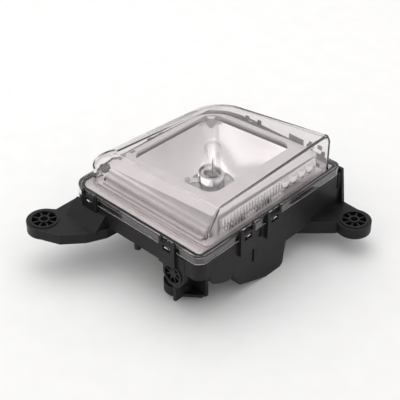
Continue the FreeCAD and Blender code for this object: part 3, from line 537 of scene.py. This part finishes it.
def side_reflector_rows():
    """Depth over height and length: a row of half-round flutes, then bulges, on a flat back."""
    y = np.linspace(-58.0, 66.0, 420)
    z = np.linspace(-1.2, 15.0, 26)
    flute = np.clip(1 - np.abs((y + 56.0) % 3.8 - 1.9) / 1.9, 0, 1)
    flute = np.sqrt(np.clip(1 - (1 - flute) ** 2, 0, 1)) * 1.5
    along = (y - 20.5) / 11.0
    across = (along - np.floor(along)) * 2 - 1
    pillow = np.clip(1 - across ** 2, 0, 1) ** 0.6
    tall = np.clip(1 - ((z - 7.0) / 6.5) ** 2, 0, 1) ** 0.6
    bulge = 2.4 * pillow[None, :] * tall[:, None]
    pillows = np.where((y > 20.5)[None, :], bulge, 0.0)
    front = np.where((y < 18.0)[None, :], np.broadcast_to(flute, bulge.shape), pillows)
    front[:, 0] = front[:, -1] = 0.0
    length, height = np.broadcast_to(y, front.shape), np.broadcast_to(z[:, None], front.shape)
    face = np.stack([64.2 + front, length, height], axis=-1)
    back = face.copy()
    back[..., 0] = 63.0
    loop = np.concatenate([face, back[:, ::-1]], axis=1)
    return loop


def side_reflector_grids():
    """The plate's faces, closed above and below by strips between its front and its back."""
    loop = side_reflector_rows()
    half = loop.shape[1] // 2
    grids = [(loop, True)]
    for row in (loop[0], loop[-1]):
        grids.append((np.stack([row[:half], row[half:][::-1]]), False))
    return grids


side_reflector = skin("side_reflector_plate", side_reflector_grids(), "housing", crease=40)
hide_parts("side_reflector")
dress(side_reflector, mirror)

# ---------------------------------------------------------------- bulb
# The bulb is a clear glass tube with a domed tip and a pinched foot, blown and thin. Two tungsten coils stand
# on wires inside it.


def lathe(profile, centre, around=64):
    """A profile of radius and height carried round an upright axis."""
    angles = np.linspace(0, 2 * math.pi, around, endpoint=False)
    circle = np.column_stack([np.cos(angles), np.sin(angles)])
    rows = [level(np.asarray(centre) + r * circle, z) for r, z in profile]
    return np.stack(rows)


def bulb_profile():
    """Up the outside to the tip, then down the inside: the tip is half a circle, the foot a tighter curve."""
    outside = [(0.0, -19.0), (6.6, -19.0), (7.6, -18.7), (8.1, -18.0), (8.2, -17.0)]
    outside += [(8.2, z) for z in np.linspace(-14, 10.8, 8)]
    outside += [(8.2 * math.cos(a), 10.8 + 8.2 * math.sin(a)) for a in np.linspace(0.08, math.pi / 2, 14)]
    inside = [(7.2 * math.cos(a), 10.8 + 7.2 * math.sin(a)) for a in np.linspace(math.pi / 2, 0.08, 14)]
    inside += [(7.2, z) for z in np.linspace(10.8, -16.5, 8)] + [(6.4, -17.8), (0.0, -18.0)]
    return outside + inside


def wire(path, radius, sides=8):
    """A round wire along a path: a circle square to its direction at each point, closed at both ends."""
    ahead = np.gradient(path, axis=0)
    ahead /= np.linalg.norm(ahead, axis=1)[:, None]
    helper = np.where(np.abs(ahead[:, 2:3]) > 0.9, (1.0, 0.0, 0.0), (0.0, 0.0, 1.0))
    across = np.cross(ahead, helper)
    across /= np.linalg.norm(across, axis=1)[:, None]
    other = np.cross(ahead, across)
    angle = np.linspace(0, 2 * math.pi, sides, endpoint=False)
    ring = across[:, None] * np.cos(angle)[None, :, None] + other[:, None] * np.sin(angle)[None, :, None]
    rows = path[:, None] + ring * radius
    first, last = (np.repeat(end[None, None], sides, axis=1) for end in (path[0], path[-1]))
    return np.concatenate([first, rows, last])


def filament_grids():
    """Two helices of seven turns, and the three posts that carry them."""
    grids = []
    for start, height in ((-3.2, -11.5), (-0.4, -5.5)):
        t = np.linspace(0, 1, 170)
        around = t * 14 * math.pi
        coil = np.column_stack([-12 + start + 3.6 * t, 17 + 0.7 * np.cos(around), height + 0.7 * np.sin(around)])
        grids.append((wire(coil, 0.16, 6), True))
    for dx, high in ((-3.0, -11.0), (3.0, -5.0), (0.0, 2.0)):
        post = np.column_stack([np.full(8, -12.0 + dx), np.full(8, 17.0), np.linspace(-17.0, high, 8)])
        grids.append((wire(post, 0.4, 10), True))
    stem = [(0, -17.9), (3.8, -17.9), (4.0, -17.7), (4.0, -15.3), (3.7, -15.0), (0, -15.0)]
    grids.append((lathe(stem, BOWL, 40), True))
    return grids


bulb_glass = skin("bulb_envelope", [(lathe(bulb_profile(), BOWL), True)], "reflector", crease=40)
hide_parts("bulb_glass")
filament = skin("bulb_coils", filament_grids(), "reflector", crease=40)
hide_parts("bulb_filament")
bulb_clear = clear_material("Bulb glass", (0.8, 0.85, 0.85), 1.0, 0.0, 0.8)
tungsten = solid_material("Tungsten", (0.35, 0.34, 0.33), 0.4, 1.0, 2500.0, 0.05, 0.1, 0.08)
insulator = solid_material("Bulb insulator", (0.10, 0.10, 0.11), 0.55, 0.0, 1300.0, 0.15, 0.2, 0.08,
                           (0.2, 0.2, 0.2))
brass = solid_material("Tinned brass", (0.72, 0.62, 0.40), 0.3, 1.0, 1500.0, 0.05, 0.1, 0.08, (0.8,
                       0.75, 0.6))
dress(bulb_glass, bulb_clear)
dress(filament, tungsten)
dress("bulb_flange", steel)
dress("bulb_base", insulator)
dress("bulb_blades", brass)
dress("bulb_ring", grey)

# ---------------------------------------------------------------- dust boot
# A soft black rubber ring fills the rear port. Its web is folded so that it can follow the bulb, a collar
# grips the bulb's base, and a tab at its edge is there to pull it off by.


def boot_profile():
    """Round the section: outer skirt, web with two half-round folds, collar, and back along the inside."""
    bottom = -65.5
    under = []
    for r in np.linspace(37.0, 22.0, 46):
        wave = 0.8 * (1 - math.cos((37.0 - r) / 15.0 * 4 * math.pi))
        under.append((r, bottom - wave * 0.98))
    over = [(r, z + 2.2) for r, z in under[::-1]]
    section = [(39.2, -56.3), (39.2, -65.0), (38.7, bottom)] + under
    section += [(19.5, bottom), (19.0, bottom + 0.5), (19.0, -51.8), (19.4, -51.5), (20.8, -51.5), (21.2, -51.9),
                (21.2, bottom + 2.4)]
    section += over + [(36.2, bottom + 2.6), (36.2, -56.3), (36.5, -56.0), (38.9, -56.0), (39.2, -56.3)]
    return section


boot_grids = [(lathe(boot_profile(), BOWL, 120), True)]
boot_grids.append((turned(block(30.2, 33.6, -6, 6, -69.0, -65.0), 250) + (-12, 17, 0), True))
boot = skin("dust_boot_rubber", boot_grids, "dust_boot", crease=40)
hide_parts("dust_boot")
dress(boot, rubber)

# ---------------------------------------------------------------- aiming parts and signal lamp
# The aiming screw, its ball stud and the two fixed studs are natural nylon, turned and moulded, and push into
# their places. A rubber ring seals the screw. The signal lamp twists into the side box: a grey socket with a
# rubber seal, a capless glass bulb and two tinned blades.

nylon = solid_material("Natural nylon", (0.78, 0.77, 0.72), 0.42, 0.0, 1500.0, 0.1, 0.06, 0.08, (0.84,
                       0.83, 0.8))
for made, nodes in ((nylon, ("adjuster_screw", "aim_stud", "pivot_studs")),
                    (rubber, ("adjuster_seal", "signal_seal")), (grey, ("signal_socket",)),
                    (bulb_clear, ("signal_bulb",)), (brass, ("signal_blades",))):
    for node in nodes:
        dress(node, made)

# ---------------------------------------------------------------- stage
# A pale plain table top runs into a pale background, lit by one broad soft light overhead and a weaker one.

floor_mesh = bpy.data.meshes.new("table_top")
floor_mesh.from_pydata([(-4, -4, 0), (4, -4, 0), (4, 4, 0), (-4, 4, 0)], [], [(0, 1, 2, 3)])
floor = bpy.data.objects.new("table_top", floor_mesh)
bpy.context.scene.collection.objects.link(floor)
dress(floor, solid_material("Table top", (0.93, 0.93, 0.93), 0.8, 0.0, 60.0, 0.02, 0.01, 0.02))

world = bpy.data.worlds.new("soft room")
world.use_nodes = True
sky = world.node_tree
ahead = sky.nodes.new("ShaderNodeTexCoord")
split = sky.nodes.new("ShaderNodeSeparateXYZ")
sky.links.new(ahead.outputs["Generated"], split.inputs[0])
tint = sky.nodes.new("ShaderNodeMix")
tint.data_type = "RGBA"
tint.inputs[6].default_value = (0.62, 0.61, 0.62, 1)
tint.inputs[7].default_value = (1.0, 0.99, 0.98, 1)
sky.links.new(mapped(sky, split.outputs[2], 0.05, 0.75, 0.0, 1.0), tint.inputs[0])
sky.links.new(tint.outputs[2], sky.nodes["Background"].inputs["Color"])
sky.nodes["Background"].inputs["Strength"].default_value = 0.9
bpy.context.scene.world = world


def softbox(name, spot, size, power):
    """A square area light at a spot, turned to the object."""
    lamp = bpy.data.objects.new(name, bpy.data.lights.new(name, "AREA"))
    lamp.data.size = size
    lamp.data.energy = power
    lamp.location = spot
    lamp.rotation_euler = (Vector((0, 0, 0.05)) - Vector(spot)).to_track_quat("-Z", "Y").to_euler()
    bpy.context.scene.collection.objects.link(lamp)


softbox("overhead", (-0.35, 0.25, 1.3), 1.1, 5.0)
softbox("front_left", (-1.0, -1.0, 0.9), 0.8, 1.5)

# ---------------------------------------------------------------- camera
# The camera looks from above, over the front right corner, and stands back so that the lines stay calm.

target = Vector((0.01021, -0.01251, 0.070))
turn, lift = math.radians(43.47), math.radians(36.43)
back = Vector((math.sin(turn) * math.cos(lift), -math.cos(turn) * math.cos(lift), math.sin(lift)))
across = Vector((math.cos(turn), math.sin(turn), 0))
stand = Matrix((across, back.cross(across), back)).transposed().to_4x4()
stand.translation = target + back * 0.946
camera = bpy.data.objects.new("camera", bpy.data.cameras.new("camera"))
camera.data.lens = 99.0
camera.data.sensor_width = 36.0
camera.matrix_world = stand
bpy.context.scene.collection.objects.link(camera)
bpy.context.scene.camera = camera
bpy.context.scene.view_settings.view_transform = "Standard"
